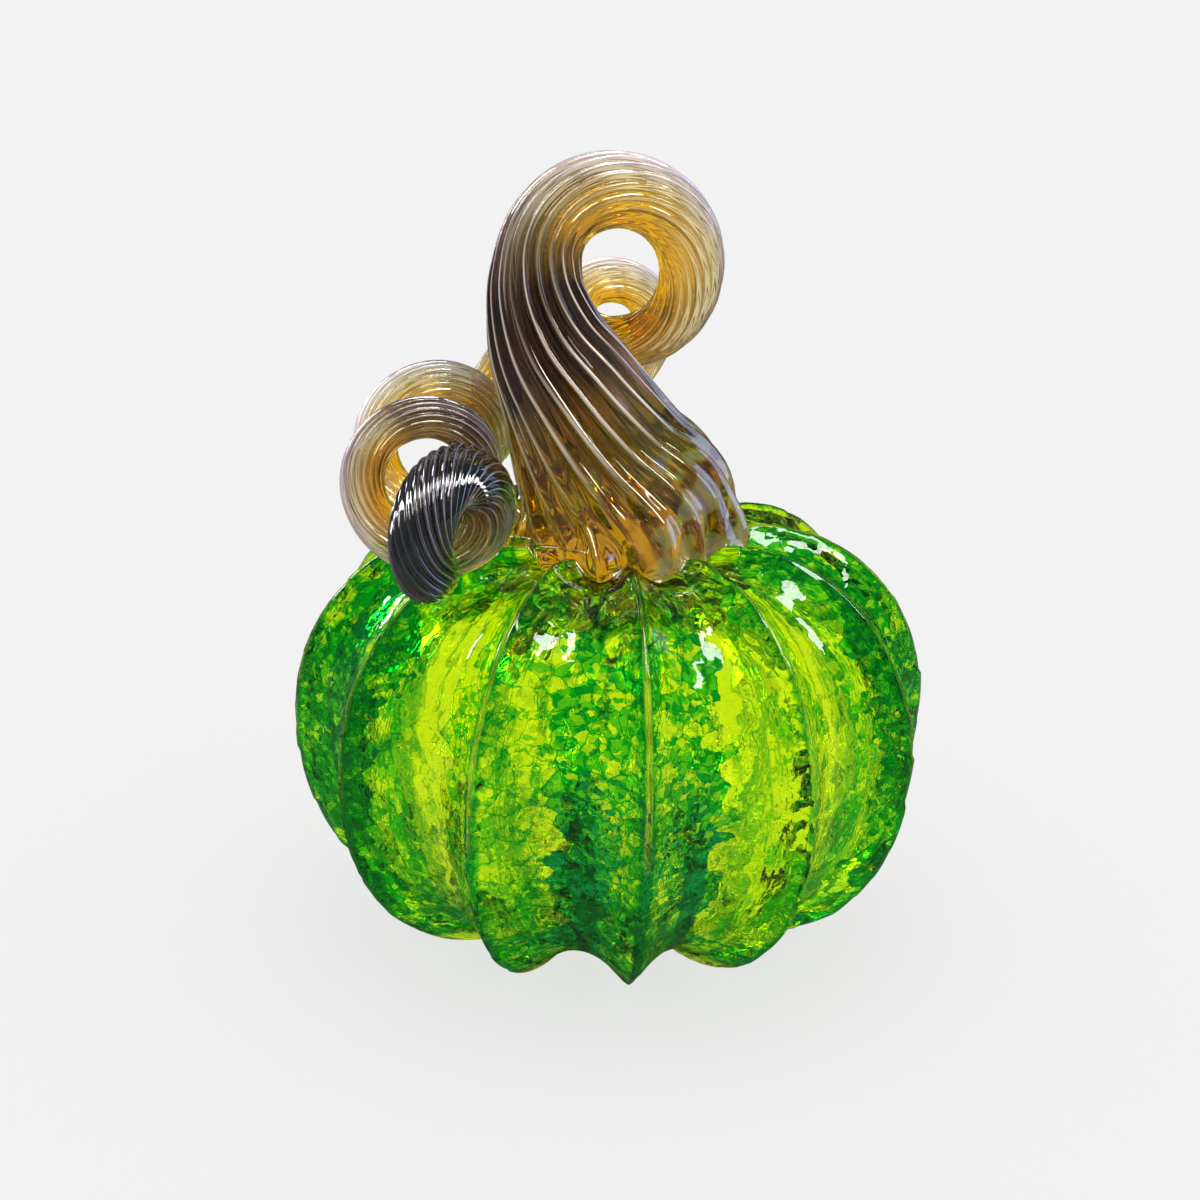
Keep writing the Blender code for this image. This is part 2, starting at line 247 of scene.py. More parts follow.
# Shares of the amber glass, as for the green
AMBER_SHARES = {
    "deep": (("inner", -0.5, 0.6, 0.0, 1.0),),
    # Painted shade: the grooves between the ribs are darker
    "groove": (("rib", 0.22, 0.04, 0.0, 0.45),),
    "dark_streak": (("streak", 0.32, 0.18, 0.0, 0.9),),
    "browned": (("streak", 0.45, 0.7, 0.0, 0.75), ("along", 0.02, 0.07, 0.25, 1.0),
                ("right", -15 * MM, -4 * MM, 0.3, 1.0)),
    # Painted highlight: silvery lines on the rib crests
    "crest": (("rib", 0.80, 0.97, 0.0, 1.0), ("streak", 0.1, 0.7, 0.25, 1.0)),
    # Painted highlight: fine silvery streaks on the gathered glass
    "fine_highlight_streak": (("streak", 0.74, 0.90, 0.0, 0.6),),
    "stretch": (("along", 0.03, 0.08, 0.0, 1.0), ("along", 0.86, 0.92, 1.0, 0.6)),
    # Painted sheen: lavender rims on the outer side of each bend, in the lustre's own lavender
    "sheen_rim": (("inner", -0.3, -0.9, 0.0, 0.55), ("gather", 0.0, 1.0, 1.0, 0.25), ("rib", 0.0, 0.8, 0.35, 1.0)),
    "fumed": (("along", 0.085, 0.05, 0.0, 1.0), ("right", 1 * MM, 7 * MM, 0.0, 1.0),
              ("cloud", 0.46, 0.56, 0.0, 0.5)),
    "mauve": (("along", 0.06, 0.085, 0.0, 1.0), ("along", 0.155, 0.12, 0.0, 1.0),
              ("right", -7 * MM, 3 * MM, 0.0, 0.55), ("streak", 0.25, 0.6, 0.5, 1.0)),
    # Painted sheen: the lustre turns lavender towards the outer side of each bend
    "sheen_lavender": (("inner", 0.0, -0.8, 0.0, 1.0),),
}

# Strength of the painted highlight lines on the ribs: what dark glass adds to it, and what honey has.
# Last, how clear lustre and the painted highlights are.
CREST_ON_DARK = 0.65
CREST_ON_HONEY = 0.07
CLEAR_UNDER_LUSTRE = 0.1

# Stage: the floor's half side, how far it lies below the flats, and the share of its white without shadow
FLOOR_HALF = 6.0
FLOOR_DROP = 0.02 * MM
FLOOR_GLOW = 0.8

# Room, by the direction that a ray leaves in: the paper behind, how high it reaches, and where the dim starts
PAPER_BEHIND = (0.1, 0.5)
PAPER_TOP = (0.75, 0.45)
DIM_FROM_FLOOR = (0.02, 0.35)

# Lamps: place, width and height in metres, watts, colour and the pieces they light
LAMPS = {
    "strip_left": ((-0.38, 0.23, 0.28), (0.08, 0.25), 0.9, "#FFFFFF", "lit_body_and_stem"),
    "strip_right": ((0.30, -0.09, 0.42), (0.06, 0.20), 0.6, "#FFFFFF", "lit_body_and_stem"),
    "softbox_top": ((0.10, -0.10, 0.60), (0.24, 0.12), 1.4, "#FFFFFF", "lit_body_and_stem"),
    "softbox_left": ((-0.33, -0.25, 0.52), (0.12, 0.35), 1.6, "#FFFFFF", "lit_stem"),
    "softbox_over": ((0.05, -0.15, 0.60), (0.35, 0.12), 1.3, "#FFFFFF", "lit_stem"),
    "softbox_right": ((0.58, 0.08, 0.20), (0.45, 0.35), 1.1, "#A4BCFF", "lit_stem"),
}
LIT_PIECES = {"lit_body_and_stem": ("green_body", "amber_stem"), "lit_stem": ("amber_stem",)}
LAMPS_AIM = (0.0, 0.0, 0.05)

# Camera, as the photograph was taken: place in millimetres, tilt and roll in degrees, sensor in millimetres
# and clip in metres
CAMERA_PLACE = (-2.162, -266.275, 142.155)
CAMERA_DOWN = 19.224
CAMERA_ROLL = 1.631
CAMERA_SENSOR = 36.0
CAMERA_CLIP = (0.01, 50.0)


def hex_colour(text):
    """Linear colour of an sRGB hex code."""
    parts = [int(text[i:i + 2], 16) / 255 for i in (1, 3, 5)]
    return [p / 12.92 if p <= 0.04045 else ((p + 0.055) / 1.055) ** 2.4 for p in parts] + [1.0]


WHITE = hex_colour("#FFFFFF")


def add_node(tree, kind, *values, named=None, stops=(), **settings):
    """A node with its settings. Its shown inputs are filled in order or by name, by links or by values."""
    node = tree.nodes.new("ShaderNode" + kind)
    for name, setting in settings.items():
        setattr(node, name, setting)
    for i, (at, colour) in enumerate(stops):
        ramp = node.color_ramp.elements
        stop = ramp[0] if i == 0 else ramp[-1] if i == len(stops) - 1 else ramp.new(at)
        stop.position = at
        stop.color = colour
    filled = list(zip([socket for socket in node.inputs if socket.enabled], values))
    filled += [(node.inputs[name], value) for name, value in (named or {}).items()]
    for socket, value in filled:
        if isinstance(value, bpy.types.Node):
            value = next(result for result in value.outputs if result.enabled)
        if isinstance(value, bpy.types.NodeSocket):
            tree.links.new(value, socket)
        else:
            socket.default_value = value
    return node


def new_material(name):
    """An empty material, and add_node for its nodes."""
    material = bpy.data.materials.new(name)
    material.use_nodes = True
    material.node_tree.nodes.clear()
    return material, functools.partial(add_node, material.node_tree)


def eased_shares(add, follows, table, ease):
    """Shares of a table by name, each a product of eases of what they follow."""
    shares = {}
    for name, eases in table.items():
        for source, *limits in eases:
            share = add("MapRange", follows[source], *limits, interpolation_type=ease)
            if name in shares:
                share = add("Math", shares[name], share, operation="MULTIPLY")
            shares[name] = share
    return shares


class PumpkinBodySettings(bpy.types.PropertyGroup):
    """Sizes and colours of the body"""
    valley_depth: bpy.props.FloatProperty(
        name="Valley depth", description="Depth of a valley below its ridges at the equator",
        default=6.0 * MM, unit="LENGTH")
    wall: bpy.props.FloatProperty(
        name="Wall", description="Thickness of the glass behind a ridge", default=7.5 * MM, unit="LENGTH")
    inner_depth: bpy.props.FloatProperty(
        name="Inner valley depth", description="Depth of a valley on the inside",
        default=0.3 * MM, unit="LENGTH")
    cell: bpy.props.FloatProperty(
        name="Crackle plate", description="Distance across one plate of the crackle",
        default=3.6 * MM, unit="LENGTH")
    lime: bpy.props.FloatVectorProperty(
        name="Lime", description="Colour of the glass where it is thin", subtype="COLOR", size=4,
        default=hex_colour("#E2FF04"))
    deep_green: bpy.props.FloatVectorProperty(
        name="Deep green", description="Colour of the glass where it is thick", subtype="COLOR", size=4,
        default=hex_colour("#008A08"))


class PumpkinStemSettings(bpy.types.PropertyGroup):
    """Sizes and colours of the stem"""
    rib_count: bpy.props.IntProperty(
        name="Ribs", description="Ribs round the rod", default=20, min=3)
    rib_depth: bpy.props.FloatProperty(
        name="Rib depth", description="Depth of the ribs as a share of the rod's radius", default=0.14,
        min=0.0, max=1.0, subtype="FACTOR")
    seat_gap: bpy.props.FloatProperty(
        name="Seat gap", description="Gap between the foot and the body", default=0.1 * MM, unit="LENGTH")
    honey: bpy.props.FloatVectorProperty(
        name="Honey", description="Colour of the drawn glass on the inside of a bend",
        subtype="COLOR", size=4, default=hex_colour("#FFC000"))
    # Painted highlights: the silvery lines on the ribs are painted in this colour, for the lustre catching the
    # lamps
    lustre: bpy.props.FloatVectorProperty(
        name="Lustre", description="Colour of the silvery lines on the ribs", subtype="COLOR", size=4,
        default=hex_colour("#E4DACA"))


class PumpkinStageSettings(bpy.types.PropertyGroup):
    """Colour and lens of the stage"""
    backdrop: bpy.props.FloatVectorProperty(
        name="Backdrop", description="Colour of the floor and the backdrop", subtype="COLOR", size=4,
        default=hex_colour("#F2F2F2"))
    lens: bpy.props.FloatProperty(
        name="Lens", description="Focal length on a 36 mm sensor, in millimetres",
        default=57.21, unit="CAMERA")


def shoulder(radius):
    """Height of the crest line over its upper half."""
    share = np.clip((radius - CREST_TOP_RADIUS) / (BODY_RADIUS - CREST_TOP_RADIUS), 0.0, 1.0)
    return EQUATOR_HEIGHT + (CREST_HEIGHT - EQUATOR_HEIGHT) * np.sqrt(1.0 - share * share)


def section(grow, cap_rows, rows):
    """Radii and heights of the crest line, grown outwards, from the pipe hole on top to the kick below."""
    top = CREST_HEIGHT + grow
    foot = -FLAT_DEPTH - grow
    share = np.linspace(0.0, 1.0, cap_rows, endpoint=False)
    quarter = np.linspace(0.0, math.pi / 2, rows, endpoint=False)
    power = 2.0 / LOWER_FULLNESS
    radius = np.concatenate((
        [PIPE_HOLE_RADIUS],
        NECK_RADIUS + (CREST_TOP_RADIUS - NECK_RADIUS) * share,
        CREST_TOP_RADIUS + (BODY_RADIUS + grow - CREST_TOP_RADIUS) * np.sin(quarter),
        FOOT_RADIUS + (BODY_RADIUS + grow - FOOT_RADIUS) * np.cos(quarter) ** power,
        FOOT_RADIUS * (1.0 - share),
    ))
    height = np.concatenate((
        [top - NECK_DIP],
        top - NECK_DIP + NECK_DIP * np.sin(share * math.pi / 2),
        EQUATOR_HEIGHT + (top - EQUATOR_HEIGHT) * np.cos(quarter),
        EQUATOR_HEIGHT - (EQUATOR_HEIGHT - foot) * np.sin(quarter) ** power,
        foot + KICK_HEIGHT * (1.0 - np.cos(math.pi * share)) / 2,
    ))
    return np.array((radius, height))


def valley_share(turn, rounding):
    """0 on a crest, 1 in the middle of a valley, with the crest rounded over a share of the pitch."""
    pitch = FULL_TURN / RIDGE_COUNT
    from_crest = np.abs((turn / pitch + 0.5) % 1.0 - 0.5) * 2.0
    most = math.sqrt(1 + rounding ** 2) - rounding
    from_crest = (np.sqrt(from_crest ** 2 + rounding ** 2) - rounding) / most
    return 1.0 - (1.0 - from_crest) ** 2


def sink_at(radius, turn, depth, rounding):
    """How far the glass is pressed in below the crest line."""
    reach = np.maximum(radius - NECK_RADIUS, 0.0) / (BODY_RADIUS - NECK_RADIUS)
    return depth * np.sqrt(reach) * valley_share(turn, rounding)


def pressed(radius, height, turn, depth, rounding):
    """Points of the turned section, pressed in between the ridges."""
    upper = height >= EQUATOR_HEIGHT
    out = np.where(upper, np.maximum(radius - CREST_TOP_RADIUS, 0.0) / (BODY_RADIUS - CREST_TOP_RADIUS) ** 2,
                   np.maximum(radius - FOOT_RADIUS, 0.0) / (BODY_RADIUS - FOOT_RADIUS) ** 2)
    up = (height - EQUATOR_HEIGHT) / np.where(upper, CREST_HEIGHT - EQUATOR_HEIGHT, EQUATOR_HEIGHT) ** 2
    length = np.maximum(np.hypot(out, up), TINY)
    sink = sink_at(radius, turn, depth, rounding)
    radius = radius - sink * out / length
    height = height - sink * up / length
    place = turn + RIDGE_TURN - RIDGE_SQUEEZE * np.sin(turn)
    return np.stack((radius * np.sin(place), -radius * np.cos(place), height), axis=-1)


def blown_wall(line, columns, depth, rounding):
    """Points and normals of a section that is turned round the axis and pressed in between the ridges."""
    turn = np.linspace(0.0, FULL_TURN, columns, endpoint=False)
    radius, height = line[..., None]
    grid = pressed(radius, height, turn[None, :], depth, rounding)
    round_way = np.roll(grid, -1, axis=1) - np.roll(grid, 1, axis=1)
    normal = np.cross(np.gradient(grid, axis=0), round_way)
    normal = normal / np.maximum(np.linalg.norm(normal, axis=-1, keepdims=True), TINY)
    return grid.reshape(-1, 3), normal.reshape(-1, 3)


def crackle(points, normals, cell, rng):
    """Height of the crackled glass: plates with jagged borders, each tilted and lifted a little."""
    area = 4.0 * math.pi * (BALL_SHARE * BODY_RADIUS) ** 2
    seeds = points[rng.choice(len(points), int(area / cell ** 2), replace=False)]
    tree = kdtree.KDTree(len(seeds))
    for i, seed in enumerate(seeds):
        tree.insert(seed, i)
    tree.balance()
    slopes = rng.normal(size=(len(seeds), 3)) * PLATE_TILT
    lift = rng.normal(size=len(seeds)) * PLATE_LIFT * PLATE_TILT * cell
    height = np.zeros(len(points))
    for i, point in enumerate(points):
        place = Vector(point)
        jag = Vector()
        for waves, reach in BORDER_JAGS:
            jag += noise.noise_vector(place * (waves / cell)) * reach * cell
        near, plate, _ = tree.find(place + jag)
        away = point - np.array(near)
        away -= normals[i] * away.dot(normals[i])
        height[i] = lift[plate] + slopes[plate].dot(away)
    return height


def closed_grid(rows, columns):
    """Faces of rings of points, closed at the first and last ring by two poles that follow the points."""
    ring = np.arange(columns)
    after = (ring + 1) % columns
    first = np.arange(rows - 1)[:, None] * columns
    a, b = first + ring, first + after
    quads = np.stack((a, a + columns, b + columns, b), axis=-1).reshape(-1, 4)
    last = (rows - 1) * columns
    pole = np.full(columns, rows * columns)
    start = np.stack((pole, ring, after), axis=-1)
    end = np.stack((pole + 1, last + after, last + ring), axis=-1)
    return quads.tolist() + start.tolist() + end.tolist()


def new_piece(name, points, faces, shares, material):
    """A smooth piece of one material, with shares of what its glass shows at each point."""
    mesh = bpy.data.meshes.new(name)
    mesh.from_pydata(points.tolist(), [], faces)
    if mesh.validate():
        raise RuntimeError(f"{name} has faulty faces")
    mesh.shade_smooth()
    for share, values in shares.items():
        mesh.attributes.new(share, "FLOAT", "POINT").data.foreach_set("value", values)
    mesh.materials.append(material)
    piece = bpy.data.objects.new(name, mesh)
    bpy.context.scene.collection.objects.link(piece)
    return piece


def ridge_count(add, point):
    """Ridges counted from the front one to either side, at a point, and the point's coordinates."""
    axes = add("SeparateXYZ", point).outputs
    front = add("Math", axes["Y"], -1.0, operation="MULTIPLY")
    place = add("Math", axes["X"], front, operation="ARCTAN2")
    turn = add("Math", place, RIDGE_TURN, operation="SUBTRACT")
    lean = add("Math", turn, operation="SINE")
    turn = add("Math", lean, RIDGE_SQUEEZE, turn, operation="MULTIPLY_ADD")
    turn = add("Math", turn, operation="ABSOLUTE")
    return add("Math", turn, RIDGE_COUNT / FULL_TURN, operation="MULTIPLY"), axes


def green_glass(settings):
    """Green glass, blown into a ribbed mould, crackled in water and fire-polished."""
    # To the eye it is clear and glossy, lime where it is thin and deep green where it is thick. Much of its
    # colour is painted light and shade of the light that the ridges bend: dark flanks by the crests, teal
    # strips of painted dark reflection low on the front, and pale lines along the crests that are painted
    # highlights.
    # Jagged plates bend the light each their own way, with dark borders between them.
    material, add = new_material("green_glass_blown_crackled")
    place = add("TexCoord").outputs["Object"]
    skin, strength = (add("Attribute", attribute_name=name).outputs["Fac"] for name in ("skin", "crackle"))

    # Large and fine plates, each with its own lean and its own tone
    half = (0.5, 0.5, 0.5)
    wide = add("VectorMath", place, (1.0, 1.0, PLATE_SQUASH), operation="MULTIPLY")
    jag = add("TexNoise", named={"Vector": place, "Scale": 1 / JAG_WIDTH, "Detail": 2.0}).outputs["Color"]
    jag = add("VectorMath", jag, half, operation="SUBTRACT")
    jag = add("VectorMath", jag, (JAG_WIDTH,) * 3, operation="MULTIPLY")
    jagged = add("VectorMath", wide, jag, operation="ADD")
    centres, reliefs, tones = [], [], []
    for width, steep in ((settings.cell, LARGE_LEAN), (FINE_PLATE, FINE_LEAN)):
        plate = add("TexVoronoi", named={"Vector": jagged, "Scale": 1 / width}).outputs
        away = add("VectorMath", wide, plate["Position"], operation="SUBTRACT")
        lean = add("VectorMath", plate["Color"], half, operation="SUBTRACT")
        relief = add("VectorMath", away, lean, operation="DOT_PRODUCT")
        red = add("SeparateColor", plate["Color"])
        centres.append(plate["Position"])
        reliefs.append(add("Math", relief, steep / MM, operation="MULTIPLY"))
        tones.append(add("Math", red, 0.5, operation="SUBTRACT"))

    # What the shares follow: the point itself, or the middle of its large plate
    count, axes = ridge_count(add, place)
    crest = add("Math", count, operation="ROUND")
    from_crest = add("Math", count, crest, operation="SUBTRACT")
    from_crest = add("Math", from_crest, operation="ABSOLUTE")
    streak = add("TexNoise", named={"Vector": place, "Scale": 1 / STREAK_WIDTH, "Detail": 2.0})
    ridge, plate_axes = ridge_count(add, centres[0])
    ridge = add("Math", tones[0], BAND_JITTER, ridge, operation="MULTIPLY_ADD")
    ridge = add("Math", ridge, BAND_RIDGES, operation="PINGPONG")
    height = add("Math", plate_axes["Z"], 1 / PLATE_SQUASH, operation="MULTIPLY")
    left = add("Math", plate_axes["X"], 0.0, operation="LESS_THAN")
    first = add("Math", ridge, 1.0, operation="LESS_THAN")
    left_first = add("Math", left, first, operation="MULTIPLY")
    edge = add("TexVoronoi", named={"Vector": jagged, "Scale": 1 / settings.cell},
               feature="DISTANCE_TO_EDGE")
    follows = {
        "count": count, "from_crest": from_crest, "upright": axes["Z"], "streak": streak, "edge": edge,
        "height": height, "back": plate_axes["Y"],
        "raised": add("Math", left_first, LEFT_FIRST_RAISE, height, operation="MULTIPLY_ADD"),
        "lowered": add("Math", left, LEFT_LOWER, height, operation="MULTIPLY_ADD"),
    }
    share = eased_shares(add, follows, GREEN_SHARES, "LINEAR")

    # Lime of each plate: the bands of painted light and shade round the body, then what its height and its
    # side change
    stops = [(at / BAND_RIDGES, (lime, lime, lime, 1.0)) for at, lime in LIME_BANDS]
    band = add("Math", ridge, 1 / BAND_RIDGES, operation="MULTIPLY")
    lime = add("SeparateColor", add("ValToRGB", band, stops=stops))
    less = add("Math", first, LEFT_FIRST_LIME, LEFT_LIME, operation="MULTIPLY_ADD")
    lime = add("Math", left, less, lime, operation="MULTIPLY_ADD")
    flank = add("Math", ridge, FRONT_FLANK, operation="LESS_THAN")
    lime = add("Math", lime, add("Math", share["high"], flank, operation="MULTIPLY"), operation="MAXIMUM")
    lime = add("Math", lime, share["most_above"], operation="MINIMUM")
    lime = add("Math", lime, share["most_below"], operation="MINIMUM")
    lime = add("Math", lime, add("Math", share["top_front_light"], first, operation="MULTIPLY"), operation="MAXIMUM")
    lime = add("Mix", share["far"], lime, FAR_LIME)

    # Relief: leaning plates, and lines that the mould dragged along the crests
    fine = add("Math", reliefs[1], add("MapRange", lime, *FINE_EASE), operation="MULTIPLY")
    lines = add("Math", from_crest, FULL_TURN * DRAG_LINES, operation="MULTIPLY")
    lines = add("Math", streak, DRAG_WANDER, lines, operation="MULTIPLY_ADD")
    drag = add("Math", add("Math", lines, operation="SINE"), share["drag"], operation="MULTIPLY")
    relief = add("Math", add("Math", reliefs[0], fine, operation="ADD"), drag, operation="ADD")
    bump = add("Bump", named={"Height": relief, "Strength": strength, "Distance": 1.0 * MM})

    # Tone of each plate, dark borders, painted shade beside the crests, and teal strips of painted dark
    # reflection low on the front
    calm = add("MapRange", lime, *CALM_EASE)
    for tone, most in ((tones[1], FINE_TONE), (tones[0], LARGE_TONE)):
        loose = add("Math", calm, most, operation="MULTIPLY")
        lime = add("Math", tone, loose, lime, operation="MULTIPLY_ADD")
    border = add("Math", share["border"], add("MapRange", calm, *BORDER_EASE), operation="MULTIPLY")
    for dark in (border, share["crest_shade"], share["teal_reflection_strip"]):
        lime = add("Math", lime, dark, operation="SUBTRACT")

    # Colour: from teal to lime, with a pale painted highlight along the crests, and pale on the flats that the
    # ridges stand on
    tints = ((0.02, hex_colour("#005A3C")), (0.18, tuple(settings.deep_green)),
             (0.45, hex_colour("#28B00C")), (0.72, tuple(settings.lime)))
    tint = add("ValToRGB", lime, stops=tints)
    tint = add("Mix", share["crest_highlight"], tint, hex_colour("#DDF7C8"), data_type="RGBA")
    tint = add("Mix", share["above_table"], hex_colour("#F0FF90"), tint, data_type="RGBA")
    shader = add("BsdfPrincipled", named={
        "Base Color": add("Mix", skin, WHITE, tint, data_type="RGBA"), "Roughness": 0.0, "IOR": 1.5,
        "Transmission Weight": 1.0, "Normal": bump})
    depth = add("VolumeAbsorption", named={"Color": hex_colour("#E7F900"), "Density": 50.0})
    add("OutputMaterial", named={"Surface": shader, "Volume": depth})
    return material


def amber_glass(settings):
    """Amber glass, drawn and twisted hot, and fumed to a silvery lustre."""
    # To the eye the drawn rod is clear honey with dark lines of painted shade in its grooves. Where the
    # glass is gathered it is brown to black, navy at the tip as a painted reflection, with silvery lines
    # of painted highlight along the ribs and a bloom of blue, green and mauve near the foot. The loops have
    # lavender rims of painted sheen.
    material, add = new_material("amber_glass_drawn_lustred")
    place = add("TexCoord").outputs["Object"]
    follows = {name: add("Attribute", attribute_name=name).outputs["Fac"]
               for name in ("rib", "gather", "inner", "along", "streak")}
    follows["right"] = add("SeparateXYZ", place)
    follows["cloud"] = add("TexNoise", named={"Vector": place, "Scale": 1 / CLOUD_WIDTH, "Detail": 1.0})
    gather = follows["gather"]
    share = eased_shares(add, follows, AMBER_SHARES, "SMOOTHSTEP")

    # Clear honey where the rod is drawn thin, brown where it is gathered
    honey = add("Mix", share["deep"], hex_colour("#FFF6E0"), tuple(settings.honey), data_type="RGBA")
    # Painted shade in the grooves, with dark streaks that differ at random
    dark = add("Math", share["groove"], share["dark_streak"], operation="MAXIMUM")
    honey = add("Mix", dark, honey, hex_colour("#472606"), data_type="RGBA")
    tints = [(at, hex_colour(colour)) for at, colour in AMBER_ALONG]
    brown = add("ValToRGB", follows["along"], stops=tints)
    brown = add("Mix", share["browned"], brown, hex_colour("#7A4E28"), data_type="RGBA")
    glass = add("Mix", gather, honey, brown, data_type="RGBA")

    # Lustre and painted light: lines on the ribs and between them, painted highlights, mauve on the stalk,
    # rims of the loops, a painted sheen, clouds at the foot
    # Painted highlights: lines on the rib crests, stronger on the dark gathered glass
    line = add("Math", gather, CREST_ON_DARK, CREST_ON_HONEY, operation="MULTIPLY_ADD")
    line = add("Math", share["crest"], line, operation="MULTIPLY")
    fine = add("Math", share["fine_highlight_streak"], gather, operation="MULTIPLY")
    drawn = add("Math", add("Math", line, fine, operation="MAXIMUM"), share["stretch"], operation="MULTIPLY")
    for other in (share["mauve"], share["sheen_rim"]):
        drawn = add("Math", drawn, other, operation="MAXIMUM")
    lustre = add("Math", drawn, share["fumed"], operation="MAXIMUM")
    # Painted sheen: lavender towards the outer side of each bend
    lustre_highlight_and_sheen = add("Mix", share["sheen_lavender"], tuple(settings.lustre), hex_colour("#BCACD6"), data_type="RGBA")
    mauve = add("Math", share["mauve"], line, operation="GREATER_THAN")
    lustre_highlight_and_sheen = add("Mix", mauve, lustre_highlight_and_sheen, hex_colour("#A88C86"), data_type="RGBA")
    tints = [(at, hex_colour(colour)) for at, colour in FUMED_CLOUDS]
    clouds = add("ValToRGB", follows["cloud"], stops=tints)
    fumed = add("Math", share["fumed"], drawn, operation="GREATER_THAN")
    lustre_highlight_and_sheen = add("Mix", fumed, lustre_highlight_and_sheen, clouds, data_type="RGBA")
    clear = add("MapRange", lustre, 0.0, 1.0, 1.0, CLEAR_UNDER_LUSTRE, interpolation_type="SMOOTHSTEP")
    shader = add("BsdfPrincipled", named={
        "Base Color": add("Mix", lustre, glass, lustre_highlight_and_sheen, data_type="RGBA"), "Roughness": 0.03, "IOR": 1.52,
        "Transmission Weight": clear, "Coat Weight": 1.0, "Coat IOR": 1.8, "Coat Roughness": 0.02})
    depth = add("VolumeAbsorption", named={"Color": hex_colour("#FAEA00"), "Density": 80.0})
    add("OutputMaterial", named={"Surface": shader, "Volume": depth})
    return material


class PUMPKIN_OT_blow_body(bpy.types.Operator):
    """Blow the hollow ridged body and crackle its skin"""
    bl_idname = "pumpkin.blow_body"
    bl_label = "Blow body"

    def execute(self, context):
        settings = context.scene.pumpkin_body
        rng = np.random.default_rng(SEED)
        noise.seed_set(SEED)
        columns = RIDGE_COUNT * COLUMNS_PER_RIDGE
        skin_line = section(0.0, *SKIN_ROWS)
        bore_line = section(-settings.wall, *BORE_ROWS)[:, ::-1]
        skin, skin_normals = blown_wall(skin_line, columns, settings.valley_depth, SKIN_ROUNDING)
        bore, bore_normals = blown_wall(bore_line, columns, settings.inner_depth, BORE_ROUNDING)
        fade = np.clip((skin[:, 2] - STILL_HEIGHT) / STILL_HEIGHT_FADE, 0.0, 1.0)
        fade *= np.clip((np.hypot(skin[:, 0], skin[:, 1]) - STILL_RADIUS) / STILL_RADIUS_FADE, 0.0, 1.0)
        wave = np.array([noise.noise(Vector(p) * WAVES_PER_METRE) for p in skin]) * WAVE_HEIGHT
        relief = wave + crackle(skin, skin_normals, settings.cell, rng)
        skin = skin + skin_normals * (fade * relief)[:, None]
        skin[:, 2] = np.maximum(skin[:, 2], 0.0)
        bore = bore + bore_normals * crackle(bore, bore_normals, settings.cell, rng)[:, None]
        poles = np.array([[0, 0, bore[:columns, 2].mean()], [0, 0, skin[-columns:, 2].mean()]])
        points = np.concatenate((bore, skin, poles))
        faces = closed_grid(bore_line.shape[1] + skin_line.shape[1], columns)
        outer = np.concatenate((np.zeros(len(bore)), np.ones(len(skin)), (0.0, 1.0)))
        calm = np.interp(points[:, 2], CALM_HEIGHTS, CALM_SHARES)
        shares = {"skin": outer, "crackle": calm * np.where(outer > 0, SKIN_CRACKLE, BORE_CRACKLE)}
        piece = new_piece("green_body", points, faces, shares, green_glass(settings))
        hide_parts("body")
        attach(piece, "root")
        return {"FINISHED"}


def between_knots(knots, at):
    """Values at a place on a smooth curve through knots, each a place followed by its values."""
    last = len(knots) - 1
    i = 0
    while i < last - 1 and at > knots[i + 1][0]:
        i += 1

    def slope(k):
        before, after = knots[max(k - 1, 0)], knots[min(k + 1, last)]
        return (after[1:] - before[1:]) / (after[0] - before[0])

    a, b = knots[i], knots[i + 1]
    span = b[0] - a[0]
    t = (at - a[0]) / span
    start, end = slope(i) * span, slope(i + 1) * span
    step = b[1:] - a[1:]
    return a[1:] + t * start + t * t * (3 * step - 2 * start - end) + t ** 3 * (start + end - 2 * step)


def coil_point(turn):
    """Centre and diameter of the rod at a turn of the corkscrew."""
    x, y, up, loop, heading, rod = between_knots(np.array(COIL, float), turn)
    angle = FULL_TURN * turn
    heading = math.radians(heading)
    side = np.array((math.sin(heading), -math.cos(heading), 0.0))
    centre = np.array((x, y, shoulder(math.hypot(x, y) * MM) / MM + up))
    point = centre + loop * (side * math.sin(angle) + np.array((0, 0, 1)) * math.cos(angle))
    return np.array((*point, rod)) * MM


def settled(values, reach):
    """Values along the rings, averaged over a reach of so many rings to either side, with the ends kept."""
    half = int(BELL_SPAN * reach)
    weight = np.exp(-0.5 * (np.arange(-half, half + 1) / reach) ** 2)
    padded = np.pad(values, half, mode="reflect", reflect_type="odd")
    return np.convolve(padded, weight / weight.sum(), mode="valid")


def length_along(line):
    """Length along a line at each of its points."""
    gaps = np.linalg.norm(np.diff(line[:, :3], axis=0), axis=1)
    return np.concatenate(([0.0], np.cumsum(gaps)))


def stem_route():
    """Even rings of the rod from the foot to the tip: length along it, centre and radius."""
    turns = np.linspace(COIL[0][0], COIL[-1][0], COIL_POINTS)
    coil = np.array([coil_point(turn) for turn in turns])
    stops = [np.array((x, y, CREST_HEIGHT / MM + up, rod)) * MM for x, y, up, rod in STALK]
    stops = np.array(stops + [coil[0], coil_point(COIL[0][0] + JOIN_TURN)])
    along = length_along(stops)
    knots = np.column_stack((along, stops))
    places = np.linspace(0.0, along[-2], STALK_POINTS, endpoint=False)
    line = np.concatenate(([between_knots(knots, at) for at in places], coil))
    along = length_along(line)
    even = np.linspace(0.0, along[-1], int(along[-1] / RING_STEP))
    route = np.column_stack([np.interp(even, along, line[:, k]) for k in range(4)])
    route[:, 3] /= 2
    above_foot = np.clip((even - SETTLED_FROM) / SETTLED_FADE, 0.0, 1.0)
    for k, reach in enumerate(ROUTE_REACHES):
        route[:, k] += above_foot * (settled(route[:, k], reach / RING_STEP) - route[:, k])
    return even, route[:, :3], route[:, 3]


